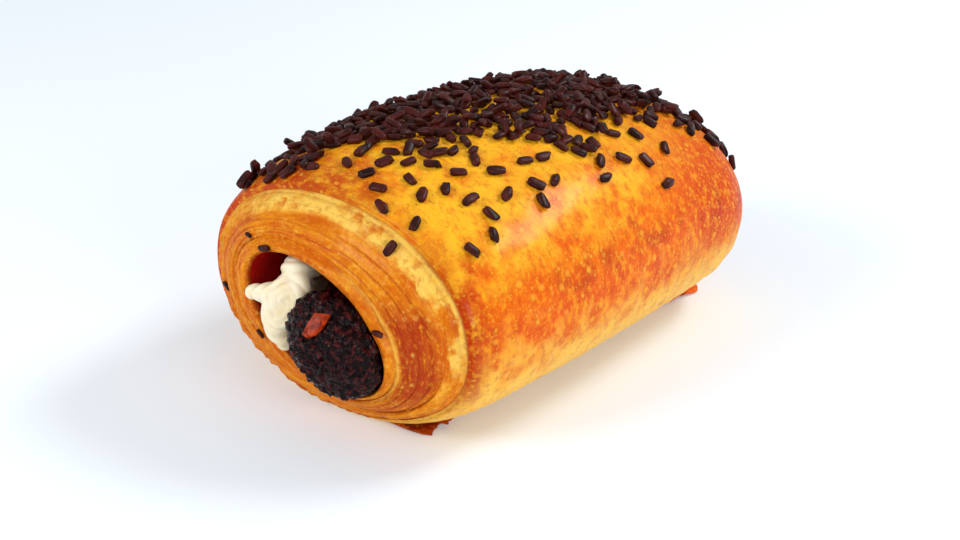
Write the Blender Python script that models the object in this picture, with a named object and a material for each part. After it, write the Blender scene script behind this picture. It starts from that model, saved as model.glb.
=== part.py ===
"""Pain au chocolat: a rolled laminated pastry with two fillings and chocolate sprinkles on its crest.

Everything is worked out in millimetres and scaled to metres as each mesh is made. +Y runs along the
roll from the filled end to the plain end, +X is the side where the tail of the dough sheet comes out
underneath, and +Z is up. The flat underside lies at z = 0.
"""
import math

import bmesh
import bpy
from mathutils import Matrix, Vector

MM = 0.001

# The roll, rim to rim. The domed ends stand out beyond these rims.
LENGTH = 101.5
WIDTH = 80.0
HEIGHT = 53.5
AXIS_HEIGHT = 23.8
UNDERSIDE_CUT = 1.8
UPPER_EXPONENT = 2.13
LOWER_EXPONENT = 2.06
BARREL_WIDTH = 0.064
BARREL_HEIGHT = 0.12
TAPER_WIDTH = 0.05
TAPER_HEIGHT = 0.05

# The two ends: how far each rim rounds over, and how far the layered face domes out.
NEAR_ROUND = 14.4
NEAR_RIM = 0.90
NEAR_DOME = 10.5
FAR_ROUND = 13.5
FAR_RIM = 0.80
FAR_DOME = 6.0
NEAR_LIP = 0.50
FAR_LIP = 0.42
SPIRAL_TURNS = 2.5
SPIRAL_RELIEF = 0.9

# The hollow the sheet is wound round: a tilted oval that narrows towards the plain end.
HOLLOW_NEAR = (20.0, 11.7)
HOLLOW_FAR = (14.0, 10.0)
HOLLOW_OFFSET = 1.5
HOLLOW_TILT = math.radians(18.7)
CLEARANCE = 0.3

# The tail of the sheet, pressed flat under the roll.
TAIL_ROOT = 4.0
TAIL_TIP = 19.5
TAIL_FLARE = 3.5
TAIL_THICKNESS = 3.4
TAIL_CORNER = 6.0
TAIL_START = 2.5

# The fillings, placed in the oval's own axes.
FILLING_CENTRE = (7.3, 1.0)
FILLING_RADIUS = 12.2
FILLING_BULGE = 7.2
CREAM_CENTRE = (-9.5, -1.0)
CREAM_RADIUS = 7.6
CREAM_BULGE = 2.4
FILLINGS_MEET = -4.2

# One grain of the sprinkles, and the carpet of them on the crest.
GRAIN = (4.1, 2.4, 1.7)
BED_THICKNESS = 1.5
BED_EDGE = 0.9
BED_POSITIVE_EDGE = ((6, -16), (18, -4), (30, 7), (43, 17), (72, 16), (96, 21))
BED_NEGATIVE_EDGE = ((6, -21), (20, -27), (84, -27), (96, -19))

# Loose grains as (along the roll, round from the crest) in whole millimetres. The last row lies on
# the side that faces away.
LOOSE_GRAINS = (
    (8, -27), (14, -31), (3, -15), (5, -10), (8, -3), (13, -4), (7, 3), (5, 8), (2, 12), (3, 20),
    (12, 3), (16, 1), (11, 11), (9, 16), (15, 7), (18, 11), (20, 7), (14, 18), (16, 23), (20, 16),
    (17, 28), (26, 15), (25, 10), (27, 20), (8, 32), (14, 32), (24, 26), (35, 21), (32, 27),
    (30, 31), (37, 28), (40, 22), (49, 24), (55, 23), (52, 28), (50, 32), (59, 29), (65, 31),
    (74, 29), (67, 37), (63, 22), (69, 24),
    (22, -33), (31, -36), (43, -32), (55, -37), (66, -33), (78, -35), (88, -30),
)
# Grains on the layered near end: (degrees round the roll, share of the way to the rim, size).
END_GRAINS = (
    (191, 0.70, 0.65), (122, 0.08, 0.75), (134, 0.32, 0.45), (58, 0.85, 0.90), (24, 0.14, 0.65), (219, 0.10, 0.60),
)

AROUND = 56
FACE_STEPS = 12


def signed_power(value, exponent):
    return math.copysign(abs(value) ** (2.0 / exponent), value)


def section(y):
    """Half width, top height and axis height of the roll at one station."""
    u = 2.0 * y / LENGTH - 1.0
    half_width = WIDTH / 2 * (1 - BARREL_WIDTH * u * u - TAPER_WIDTH * u)
    top = HEIGHT * (1 - BARREL_HEIGHT * u * u - TAPER_HEIGHT * u)
    axis = AXIS_HEIGHT * (1 - 0.3 * BARREL_HEIGHT * u * u)
    return half_width, top, axis


def ring_point(theta, y, scale, section_y=None):
    """A point on the roll's outline, shrunk towards its axis by the given scale."""
    half_width, top, axis = section(y if section_y is None else section_y)
    rise = math.sin(theta)
    exponent = UPPER_EXPONENT if rise >= 0 else LOWER_EXPONENT
    depth = top - axis if rise >= 0 else axis + UNDERSIDE_CUT
    x = scale * half_width * signed_power(math.cos(theta), exponent)
    z = axis + scale * depth * signed_power(rise, exponent)
    return Vector((x, y, max(z, 0.0)))


def rounding(y):
    """How much the outline shrinks where the roll rounds over into its two ends."""
    if y < NEAR_ROUND:
        turn = math.acos(1 - max(y, 0.0) / NEAR_ROUND)
        return 1 - (1 - NEAR_RIM) * (1 - math.sin(turn))
    if y > LENGTH - FAR_ROUND:
        turn = math.acos(1 - max(LENGTH - y, 0.0) / FAR_ROUND)
        return 1 - (1 - FAR_RIM) * (1 - math.sin(turn))
    return 1.0


def skin(theta, y):
    return ring_point(theta, y, rounding(y))


def hollow_axes(y):
    """Centre and half axes of the oval hollow at one station."""
    share = min(max(y / LENGTH, 0.0), 1.0)
    long_axis = HOLLOW_NEAR[0] + (HOLLOW_FAR[0] - HOLLOW_NEAR[0]) * share
    short_axis = HOLLOW_NEAR[1] + (HOLLOW_FAR[1] - HOLLOW_NEAR[1]) * share
    centre_x = HOLLOW_OFFSET * (1 - share)
    return centre_x, section(min(max(y, 0.0), LENGTH))[2], long_axis, short_axis


def tilted(y, u, v):
    """A point given in the hollow's own tilted axes."""
    centre_x, centre_z, _, _ = hollow_axes(y)
    cosine = math.cos(HOLLOW_TILT)
    sine = math.sin(HOLLOW_TILT)
    return Vector((centre_x + u * cosine + v * sine, y, centre_z - u * sine + v * cosine))


def hollow(theta, y):
    _, _, long_axis, short_axis = hollow_axes(y)
    angle = theta + HOLLOW_TILT
    return tilted(y, long_axis * math.cos(angle), short_axis * math.sin(angle))


def spiral(theta, share):
    """Height of the wound layers on an end face, zero at the lip and at the rim."""
    phase = (SPIRAL_TURNS * share - theta / (2 * math.pi)) % 1.0
    fade = min(1.0, 5 * share, 5 * (1 - share))
    return SPIRAL_RELIEF * fade * (2 * math.sin(math.pi * phase) - 1)


def near_dome(theta, share):
    """The near end without its layers, from the lip of the hollow (0) to the rim (1)."""
    radius = NEAR_LIP + (NEAR_RIM - NEAR_LIP) * share
    inner = hollow(theta, 0.0)
    outer = ring_point(theta, 0.0, NEAR_RIM)
    point = inner.lerp(outer, share)
    point.y = -NEAR_DOME * (1 - (radius / NEAR_RIM) ** 2.5)
    return point


def near_face(theta, share):
    point = near_dome(theta, share)
    point.y -= spiral(theta, share)
    return point


def far_face(theta, share):
    radius = FAR_LIP + (FAR_RIM - FAR_LIP) * share
    y = LENGTH + FAR_DOME * (1 - (radius / FAR_RIM) ** 2) + 0.6 * spiral(-theta, share)
    inner = hollow(theta, LENGTH)
    outer = ring_point(theta, LENGTH, FAR_RIM)
    point = inner.lerp(outer, share)
    point.y = y
    return point


def channel_point(theta, share):
    """The wall of the hollow, from the far lip (0) to the near lip (1)."""
    near_y = near_face(theta, 0.0).y
    far_y = far_face(theta, 0.0).y
    return hollow(theta, far_y + (near_y - far_y) * share)


def roll_loop(theta):
    """Closed line round the dough in one lengthwise cut: near face, skin, far face, hollow."""
    points = [near_face(theta, i / FACE_STEPS) for i in range(FACE_STEPS)]
    for i in range(5):
        points.append(skin(theta, NEAR_ROUND * (1 - math.cos(math.radians(18 * i)))))
    body_steps = 9
    body_length = LENGTH - NEAR_ROUND - FAR_ROUND
    for i in range(body_steps + 1):
        points.append(skin(theta, NEAR_ROUND + body_length * i / body_steps))
    for i in range(4, -1, -1):
        points.append(skin(theta, LENGTH - FAR_ROUND * (1 - math.cos(math.radians(18 * i)))))
    points += [far_face(theta, 1 - i / 8) for i in range(1, 9)]
    points += [channel_point(theta, i / 6) for i in range(1, 6)]
    return points


def add_mesh(name, points, faces):
    """Make an object from millimetre points, with every face turned outwards."""
    mesh = bpy.data.meshes.new(name)
    mesh.from_pydata([Vector(p) * MM for p in points], [], faces)
    work = bmesh.new()
    work.from_mesh(mesh)
    bmesh.ops.recalc_face_normals(work, faces=work.faces)
    work.to_mesh(mesh)
    work.free()
    piece = bpy.data.objects.new(name, mesh)
    bpy.context.scene.collection.objects.link(piece)
    return piece


def tube_faces(rings, count, closed=False):
    """Quads between rings of points, all with the same count; an open tube is capped by polygons."""
    faces = []
    last = rings if closed else rings - 1
    for ring in range(last):
        following = (ring + 1) % rings
        for i in range(count):
            j = (i + 1) % count
            faces.append((ring * count + i, ring * count + j, following * count + j, following * count + i))
    if not closed:
        faces.append(tuple(range(count)))
        faces.append(tuple((rings - 1) * count + i for i in range(count)))
    return faces


def make_tail():
    """Slab for the tail of the sheet. It is a helper that is joined into the roll."""
    points = []
    stations = 31
    for i in range(stations):
        share = 0.5 - 0.5 * math.cos(math.pi * i / (stations - 1))
        y = TAIL_START + (LENGTH - 1.5 * TAIL_START) * share
        edge = min(1.0, min(y - TAIL_START, LENGTH - 0.5 * TAIL_START - y) / TAIL_CORNER)
        corner = 1 - math.sqrt(1 - (1 - edge) ** 2)
        thickness = TAIL_THICKNESS * (1 - 0.55 * corner)
        tip = TAIL_TIP + TAIL_FLARE * (2 * share - 1) ** 2 + 0.4 * math.sin(9 * share + 1) - TAIL_CORNER * corner
        points += [
            (TAIL_ROOT, y, 0.0),
            (tip - 1.6, y, 0.0),
            (tip - 0.2, y, 0.25 * thickness),
            (tip, y, 0.6 * thickness),
            (tip - 1.0, y, 0.92 * thickness),
            (tip - 2.6, y, thickness),
            (TAIL_ROOT, y, thickness + 0.2),
        ]
    tail = add_mesh("tail_helper", points, tube_faces(stations, 7))
    tail.hide_render = True
    tail.display_type = "WIRE"
    return tail


def make_roll():
    points = []
    for i in range(AROUND):
        points += roll_loop(2 * math.pi * i / AROUND)
    roll = add_mesh("pastry_roll", points, tube_faces(AROUND, len(points) // AROUND, closed=True))
    union = roll.modifiers.new("tail", "BOOLEAN")
    union.operation = "UNION"
    union.solver = "EXACT"
    union.object = make_tail()
    return roll


def wall_distance(y, centre, angle):
    """Distance from a point in the hollow to its wall, less the clearance, along one direction."""
    _, _, long_axis, short_axis = hollow_axes(y)
    long_axis -= CLEARANCE
    short_axis -= CLEARANCE
    du = math.cos(angle) / long_axis
    dv = math.sin(angle) / short_axis
    cu = centre[0] / long_axis
    cv = centre[1] / short_axis
    a = du * du + dv * dv
    b = du * cu + dv * cv
    c = cu * cu + cv * cv - 1
    return (-b + math.sqrt(b * b - a * c)) / a


def filling_reach(y, centre, radius, angle, side):
    """Reach of a filling's section: its own radius, the wall of the hollow or the other filling."""
    reach = radius
    if y > near_face(0.0, 0.0).y - 1.0:
        reach = min(reach, wall_distance(y, centre, angle))
    towards_other = -side * math.cos(angle)
    if towards_other > 0.05:
        gap = side * (centre[0] - FILLINGS_MEET) - CLEARANCE / 2
        reach = min(reach, gap / towards_other**0.85)
    return reach


def make_filling(name, centre, radius, bulge, side, around):
    """A log of filling that domes out of the near end and spreads to the wall inside the hollow."""
    lip = near_face(0.0, 0.0).y
    far = LENGTH + FAR_DOME / 2
    stations = []
    for degrees in (12, 35, 58, 75):
        turn = math.radians(degrees)
        stations.append((lip - 0.8 - bulge * math.cos(turn), radius * math.sin(turn)))
    stations.append((lip - 0.8, radius))
    for i in range(11):
        inwards = 1.2 + (far - lip - 3.2) * i / 10
        stations.append((lip + inwards, radius + inwards))
    stations += [(far - 0.6, 0.8 * radius), (far + 0.4, 0.5 * radius)]
    points = []
    for y, limit in stations:
        for i in range(around):
            angle = 2 * math.pi * i / around
            reach = filling_reach(y, centre, limit, angle, side)
            points.append(tilted(y, centre[0] + reach * math.cos(angle), centre[1] + reach * math.sin(angle)))
    return add_mesh(name, points, tube_faces(len(stations), around))


def make_fragment():
    """Thin angular shard resting on the domed front of the dark filling."""
    outline = ((-2.3, -2.3), (-0.5, -2.9), (1.7, -1.6), (1.9, 0.3), (2.5, 2.5), (0.2, 2.2), (-2.0, 1.8))
    front = near_face(0.0, 0.0).y - FILLING_BULGE
    centre = tilted(front - 0.6, FILLING_CENTRE[0] - 0.2, FILLING_CENTRE[1] + 7.0)
    tip_back = Matrix.Rotation(math.radians(-32), 4, "X") @ Matrix.Rotation(math.radians(4), 4, "Y")
    points = []
    for depth in (-0.6, 0.6):
        for x, z in outline:
            points.append(centre + tip_back @ Vector((x, depth + 0.12 * x, z)))
    return add_mesh("filling_fragment", points, tube_faces(2, len(outline)))


def crest_angle(y, distance):
    """Angle whose point on the skin lies the given distance round from the crest, + towards +X."""
    theta = math.pi / 2
    step = -math.copysign(math.radians(0.5), distance)
    walked = 0.0
    here = skin(theta, y)
    while walked < abs(distance):
        following = skin(theta + step, y)
        walked += (following - here).length
        theta += step
        here = following
    return theta


def surface_frame(surface, a, b, da, db):
    """Point, outward normal and first tangent of a surface function."""
    point = surface(a, b)
    along_a = surface(a + da, b) - surface(a - da, b)
    along_b = surface(a, b + db) - surface(a, b - db)
    tangent = along_a.normalized()
    normal = along_a.cross(along_b).normalized()
    return point, normal, tangent


def outward(point, normal, y_middle):
    centre = Vector((0.0, y_middle, AXIS_HEIGHT))
    return normal if (point - centre).dot(normal) > 0 else -normal


def make_bed():
    """Slab over the crest that stands for the dense carpet of sprinkles."""
    along = 26
    across = 12
    first = BED_POSITIVE_EDGE[0][0]
    last = BED_POSITIVE_EDGE[-1][0]
    lower = []
    upper = []
    for i in range(along + 1):
        y = first + (last - first) * i / along
        start = crest_angle(y, edge_at(BED_NEGATIVE_EDGE, y) + 0.7 * math.sin(0.5 * y))
        end = crest_angle(y, edge_at(BED_POSITIVE_EDGE, y) + 0.7 * math.sin(0.43 * y))
        for j in range(across + 1):
            theta = start + (end - start) * j / across
            point, normal, _ = surface_frame(skin, theta, y, 0.01, 0.3)
            normal = outward(point, normal, LENGTH / 2)
            on_edge = i in (0, along) or j in (0, across)
            thickness = BED_EDGE if on_edge else BED_THICKNESS
            lower.append(point + normal * CLEARANCE)
            upper.append(point + normal * (CLEARANCE + thickness))
    return add_mesh("sprinkle_bed", lower + upper, slab_faces(along, across))


def edge_at(edge, y):
    """Straight-line reading of an outline given as (along, round) pairs."""
    for (y0, d0), (y1, d1) in zip(edge, edge[1:]):
        if y <= y1:
            return d0 + (d1 - d0) * (y - y0) / (y1 - y0)
    return edge[-1][1]


def slab_faces(along, across):
    row = across + 1
    sheet = (along + 1) * row
    faces = []
    for i in range(along):
        for j in range(across):
            quad = (i * row + j, (i + 1) * row + j, (i + 1) * row + j + 1, i * row + j + 1)
            faces.append(tuple(reversed(quad)))
            faces.append(tuple(sheet + k for k in quad))
    border = [j for j in range(across)]
    border += [i * row + across for i in range(along)]
    border += [along * row + j for j in range(across, 0, -1)]
    border += [i * row for i in range(along, 0, -1)]
    for a, b in zip(border, border[1:] + border[:1]):
        faces.append((a, b, sheet + b, sheet + a))
    return faces


def make_grain(number, point, normal, tangent, lift, scale=1.0):
    """One rounded grain lying on the surface, turned and sized a little differently each time."""
    yaw = math.radians(137.5 * number)
    size = scale * (1 + 0.06 * math.sin(2.4 * number))
    side = normal.cross(tangent)
    long_way = tangent * math.cos(yaw) + side * math.sin(yaw)
    short_way = normal.cross(long_way)
    half = [0.5 * size * length for length in GRAIN]
    centre = point + normal * (half[2] + lift)
    around = 8
    points = []
    for latitude in (-68, -34, 0, 34, 68):
        for i in range(around):
            angle = 2 * math.pi * i / around
            reach = math.cos(math.radians(latitude)) ** 0.7
            across = signed_power(math.cos(angle), 2.6) * reach
            up = signed_power(math.sin(angle), 2.6) * reach
            offset = long_way * half[0] * signed_power(math.sin(math.radians(latitude)), 2.4)
            points.append(centre + offset + short_way * half[1] * across + normal * half[2] * up)
    return add_mesh(f"sprinkle_{number:02d}", points, tube_faces(5, around))


def make_grains():
    number = 0
    for y, distance in LOOSE_GRAINS:
        number += 1
        point, normal, tangent = surface_frame(skin, crest_angle(y, distance), y, 0.01, 0.3)
        make_grain(number, point, outward(point, normal, LENGTH / 2), tangent, 0.2)
    for degrees, share, scale in END_GRAINS:
        number += 1
        point, normal, tangent = surface_frame(near_dome, math.radians(degrees), share, 0.01, 0.02)
        make_grain(number, point, outward(point, normal, LENGTH / 2), tangent, SPIRAL_RELIEF, scale)


def centre_on_base(pieces):
    """Hang every piece on one empty that puts the origin under the middle of the whole part."""
    bpy.context.view_layer.update()
    depsgraph = bpy.context.evaluated_depsgraph_get()
    corners = []
    for piece in pieces:
        evaluated = piece.evaluated_get(depsgraph)
        corners += [piece.matrix_world @ Vector(corner) for corner in evaluated.bound_box]
    low = [min(corner[axis] for corner in corners) for axis in range(3)]
    high = [max(corner[axis] for corner in corners) for axis in range(3)]
    base = bpy.data.objects.new("base_frame", None)
    base.location = (-(low[0] + high[0]) / 2, -(low[1] + high[1]) / 2, -low[2])
    bpy.context.scene.collection.objects.link(base)
    for piece in pieces:
        piece.parent = base


def build():
    for leftover in list(bpy.data.objects):
        bpy.data.objects.remove(leftover)
    make_roll()
    make_filling("chocolate_filling", FILLING_CENTRE, FILLING_RADIUS, FILLING_BULGE, 1, 24)
    make_filling("cream_filling", CREAM_CENTRE, CREAM_RADIUS, CREAM_BULGE, -1, 20)
    make_fragment()
    make_bed()
    make_grains()
    centre_on_base([piece for piece in bpy.data.objects if piece.type == "MESH"])


build()
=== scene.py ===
"""Looks of the pain au chocolat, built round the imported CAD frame.

Shapes are worked out in millimetres in the roll's own frame, where y = 0 is the plane of the near rim,
and moved into the row frame as each mesh is made.
"""

import math
from itertools import product

import bmesh
import bpy
import numpy as np
from mathutils import Matrix, Vector
from mathutils.bvhtree import BVHTree


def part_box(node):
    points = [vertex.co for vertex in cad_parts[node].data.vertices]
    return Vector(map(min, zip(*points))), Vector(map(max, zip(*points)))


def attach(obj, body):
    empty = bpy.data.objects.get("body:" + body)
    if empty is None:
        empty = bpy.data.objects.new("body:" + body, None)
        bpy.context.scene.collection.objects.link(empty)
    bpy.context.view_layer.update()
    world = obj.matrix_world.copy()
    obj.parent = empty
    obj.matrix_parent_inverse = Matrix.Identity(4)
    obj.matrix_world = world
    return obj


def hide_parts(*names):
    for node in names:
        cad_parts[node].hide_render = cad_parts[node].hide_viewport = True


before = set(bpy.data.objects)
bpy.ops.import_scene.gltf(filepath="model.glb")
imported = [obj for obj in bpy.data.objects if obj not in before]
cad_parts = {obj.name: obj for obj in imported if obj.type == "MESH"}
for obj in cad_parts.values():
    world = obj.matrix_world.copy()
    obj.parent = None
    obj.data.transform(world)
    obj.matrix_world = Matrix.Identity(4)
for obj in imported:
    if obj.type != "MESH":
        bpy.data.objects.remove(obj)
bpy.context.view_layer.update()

MM = 0.001

# The roll, in step with the CAD solid, in millimetres.
LENGTH = 101.5
WIDTH = 80.0
HEIGHT = 53.5
AXIS_HEIGHT = 23.8
UNDERSIDE_CUT = 1.8
UPPER_EXPONENT = 2.13
LOWER_EXPONENT = 2.06
BARREL_WIDTH = 0.064
BARREL_HEIGHT = 0.12
TAPER_WIDTH = 0.05
TAPER_HEIGHT = 0.05
NEAR_ROUND = 14.4
NEAR_RIM = 0.90
NEAR_DOME = 10.5
NEAR_LIP = 0.50
FAR_ROUND = 13.5
FAR_RIM = 0.80
FAR_DOME = 6.0
FAR_LIP = 0.42
HOLLOW_NEAR = (20.0, 11.7)
HOLLOW_FAR = (14.0, 10.0)
HOLLOW_OFFSET = 1.5
HOLLOW_TILT = math.radians(18.7)
LIP_Y = -NEAR_DOME * (1 - (NEAR_LIP / NEAR_RIM) ** 2.5)
SHIFT_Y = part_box("chocolate_filling")[1][1] / MM - (LENGTH + FAR_DOME / 2 + 0.4)

MEAN_RADIUS = 31.0  # turns an angle round the roll into a distance along its skin

# Steps of the roll's mesh.
AROUND = 344
NEAR_FACE_STEPS = 104
NEAR_ROUND_STEPS = 20
BODY_STEPS = 76
FAR_ROUND_STEPS = 14
FAR_FACE_STEPS = 34
HOLLOW_STEPS = 20

# Crust colours, as sRGB bytes.
SKIN_GOLD_AND_TOP_LIGHT = (252, 186, 34)
SKIN_ORANGE = (231, 101, 0)
SKIN_AMBER = (219, 72, 0)
SKIN_RUST = (178, 38, 0)
SKIN_PALE_AND_LOW_LIGHT = (255, 208, 84)
CRUMB_PALE = (255, 207, 92)
CRUMB_GOLD = (243, 152, 20)
CRUMB_ORANGE = (215, 98, 4)
CRUMB_BROWN = (168, 42, 3)
# Painted shade for the deepest part of the grooves between the turns.
CREVICE_SHADE = (104, 28, 3)
# Painted shade: the hollow's wall, and the lip round it, are painted dark red for the shade inside the
# tube.
HOLLOW_SHADE_RED = (160, 10, 1)
TORN_RED = (132, 26, 4)


def linear(rgb):
    """Scene-linear colour from sRGB bytes."""
    value = np.asarray(rgb, dtype=float) / 255
    return np.where(value <= 0.04045, value / 12.92, ((value + 0.055) / 1.055) ** 2.4)


def signed_power(value, exponent):
    """Cosine or sine of a superellipse: 2 gives a round outline, more gives a squarer one."""
    return np.sign(value) * np.abs(value) ** (2.0 / exponent)


def smooth(low, high, value):
    """Eased share, 0 at low and 1 at high; low may be the larger of the two."""
    share = np.clip((value - low) / (high - low), 0, 1)
    return share * share * (3 - 2 * share)


def turns(count):
    """A row of even angles round a full turn."""
    return np.linspace(0, 2 * math.pi, count, endpoint=False)[None, :]


def mix(first, second, share):
    """First where share is 0 or less, second where it is 1 or more."""
    share = np.clip(share, 0, 1)[..., None]
    return first * (1 - share) + second * share


# ---- repeatable noise

def corner_value(ix, iy, iz, seed):
    """Pseudo-random value in -1..1 for whole-number corners of a grid."""
    n = (ix * 374761393 + iy * 668265263 + iz * 1440662683 + seed * 974634777) & 0xFFFFFFFF
    n = ((n ^ (n >> 13)) * 1274126177) & 0xFFFFFFFF
    n = ((n ^ (n >> 16)) * 2246822519) & 0xFFFFFFFF
    return ((n ^ (n >> 15)) & 0xFFFFFF) / 8388607.5 - 1


def value_noise(points, seed):
    """Smooth noise in -1..1 with features one unit across."""
    whole = np.floor(points).astype(np.int64)
    part = points - whole
    part = part * part * (3 - 2 * part)
    total = 0
    for steps in product((0, 1), repeat=3):
        weight = np.ones(points.shape[:-1])
        for axis, step in enumerate(steps):
            weight = weight * (part[..., axis] if step else 1 - part[..., axis])
        corner = whole + np.array(steps)
        total = total + weight * corner_value(*np.moveaxis(corner, -1, 0), seed)
    return total


def fractal(points, size, octaves, seed):
    """Layered noise whose broadest features are about size millimetres across."""
    total = 0
    reach = 0
    for octave in range(octaves):
        strength = 0.5**octave
        total = total + strength * value_noise(points * (2**octave / size), seed + octave)
        reach += strength
    return total / reach


def cell_distance(points, size, seed):
    """Distance to the nearest scattered point, in units of the cell size, and that cell's own value."""
    scaled = points / size
    whole = np.floor(scaled).astype(np.int64)
    best = np.full(points.shape[:-1], 9.0)
    tag = np.zeros(points.shape[:-1])
    for steps in product((-1, 0, 1), repeat=3):
        cell = [whole[..., axis] + step for axis, step in enumerate(steps)]
        spot = [place + 0.5 + 0.45 * corner_value(*cell, seed + k) for k, place in enumerate(cell)]
        away = np.sqrt(((scaled - np.stack(spot, -1)) ** 2).sum(-1))
        nearer = away < best
        best = np.where(nearer, away, best)
        tag = np.where(nearer, corner_value(*cell, seed + 7), tag)
    return best, tag


# ---- the roll's surface

def section(y):
    """Half width, crest height and axis height of the roll at a place along it."""
    u = 2.0 * y / LENGTH - 1.0
    half_width = WIDTH / 2 * (1 - BARREL_WIDTH * u * u - TAPER_WIDTH * u)
    top = HEIGHT * (1 - BARREL_HEIGHT * u * u - TAPER_HEIGHT * u)
    axis = AXIS_HEIGHT * (1 - 0.3 * BARREL_HEIGHT * u * u)
    return half_width, top, axis


def ring_points(theta, y, scale):
    """Outline of the roll at y, shrunk towards its axis by scale and flat where it rests."""
    half_width, top, axis = section(y)
    rise = np.sin(theta)
    upper = rise >= 0
    exponent = np.where(upper, UPPER_EXPONENT, LOWER_EXPONENT)
    depth = np.where(upper, top - axis, axis + UNDERSIDE_CUT)
    x = scale * half_width * signed_power(np.cos(theta), exponent)
    z = axis + scale * depth * signed_power(rise, exponent)
    y_all = np.broadcast_to(y, x.shape)
    return np.stack([x, y_all, np.maximum(z, 0)], -1)


def rounding(y):
    """Scale of the section where the skin rounds over towards its two rims."""
    near = np.arccos(np.clip(1 - y / NEAR_ROUND, 0, 1))
    far = np.arccos(np.clip(1 - (LENGTH - y) / FAR_ROUND, 0, 1))
    return (1 - (1 - NEAR_RIM) * (1 - np.sin(near))) * (1 - (1 - FAR_RIM) * (1 - np.sin(far)))


def hollow_axes(y):
    """Centre x and z of the hollow at y, then its half axes."""
    share = np.clip(y / LENGTH, 0, 1)
    long_axis = HOLLOW_NEAR[0] + (HOLLOW_FAR[0] - HOLLOW_NEAR[0]) * share
    short_axis = HOLLOW_NEAR[1] + (HOLLOW_FAR[1] - HOLLOW_NEAR[1]) * share
    return HOLLOW_OFFSET * (1 - share), section(np.clip(y, 0, LENGTH))[2], long_axis, short_axis


def tilted(y, u, v):
    """Points given in the hollow's own tilted axes."""
    centre_x, centre_z, _, _ = hollow_axes(y)
    cosine = math.cos(HOLLOW_TILT)
    sine = math.sin(HOLLOW_TILT)
    x = centre_x + u * cosine + v * sine
    z = centre_z - u * sine + v * cosine
    return np.stack(np.broadcast_arrays(x, y, z), -1).astype(float)


def hollow_points(theta, y):
    """Outline of the hollow at y."""
    _, _, long_axis, short_axis = hollow_axes(y)
    angle = theta + HOLLOW_TILT
    return tilted(y, long_axis * np.cos(angle), short_axis * np.sin(angle))


def wound(theta, share):
    """Where a point of an end face lies in the wound sheet.

    Returns its turn, counted outwards along the sheet, and its place across the sheet's thickness.
    The sheet steps out by one turn along the underside, and its last turn runs out there as the tail.
    """
    inner = 0.22 - 0.08 * np.cos(theta)
    middle = 0.70 + 0.04 * np.cos(theta) + 0.02 * np.sin(2 * theta + 0.4)
    first = share / inner
    second = 1 + (share - inner) / (middle - inner)
    third = 2 + (share - middle) / (1 - middle)
    across = np.where(share < inner, first, np.where(share < middle, second, third))
    degrees = (np.degrees(theta) + 20) % 360 - 20
    step = smooth(205, 335, degrees)
    phase = across - step
    layer = np.floor(phase)
    return layer + step, phase - layer


# Thin dark seams between the leaves of an end face, as (share of the way out, strength).
LEAF_SEAMS = (
    (0.09, 0.5), (0.33, 0.9), (0.40, 0.6), (0.47, 1.0), (0.56, 0.6), (0.62, 0.9), (0.85, 0.35),
)
SEAM_WIDTH = 0.010


def leaf_seams(share, wander, presence):
    """Thin broken lines that follow the ring, 1 on a seam and 0 between."""
    lines = 0
    for number, (place, strength) in enumerate(LEAF_SEAMS):
        away = (share - place - 0.045 * wander) / SEAM_WIDTH
        shown = np.clip(0.5 + 1.6 * presence * (1 if number % 2 else -1) + 0.3 * wander, 0, 1)
        lines = np.maximum(lines, strength * shown * np.exp(-(away**2)))
    return lines


def dome_height(radius, near):
    """How far an end bulges, at a radius given as a share of the section."""
    if near:
        return NEAR_DOME * (1 - (radius / NEAR_RIM) ** 2.5)
    return FAR_DOME * (1 - (radius / FAR_RIM) ** 2)


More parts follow.
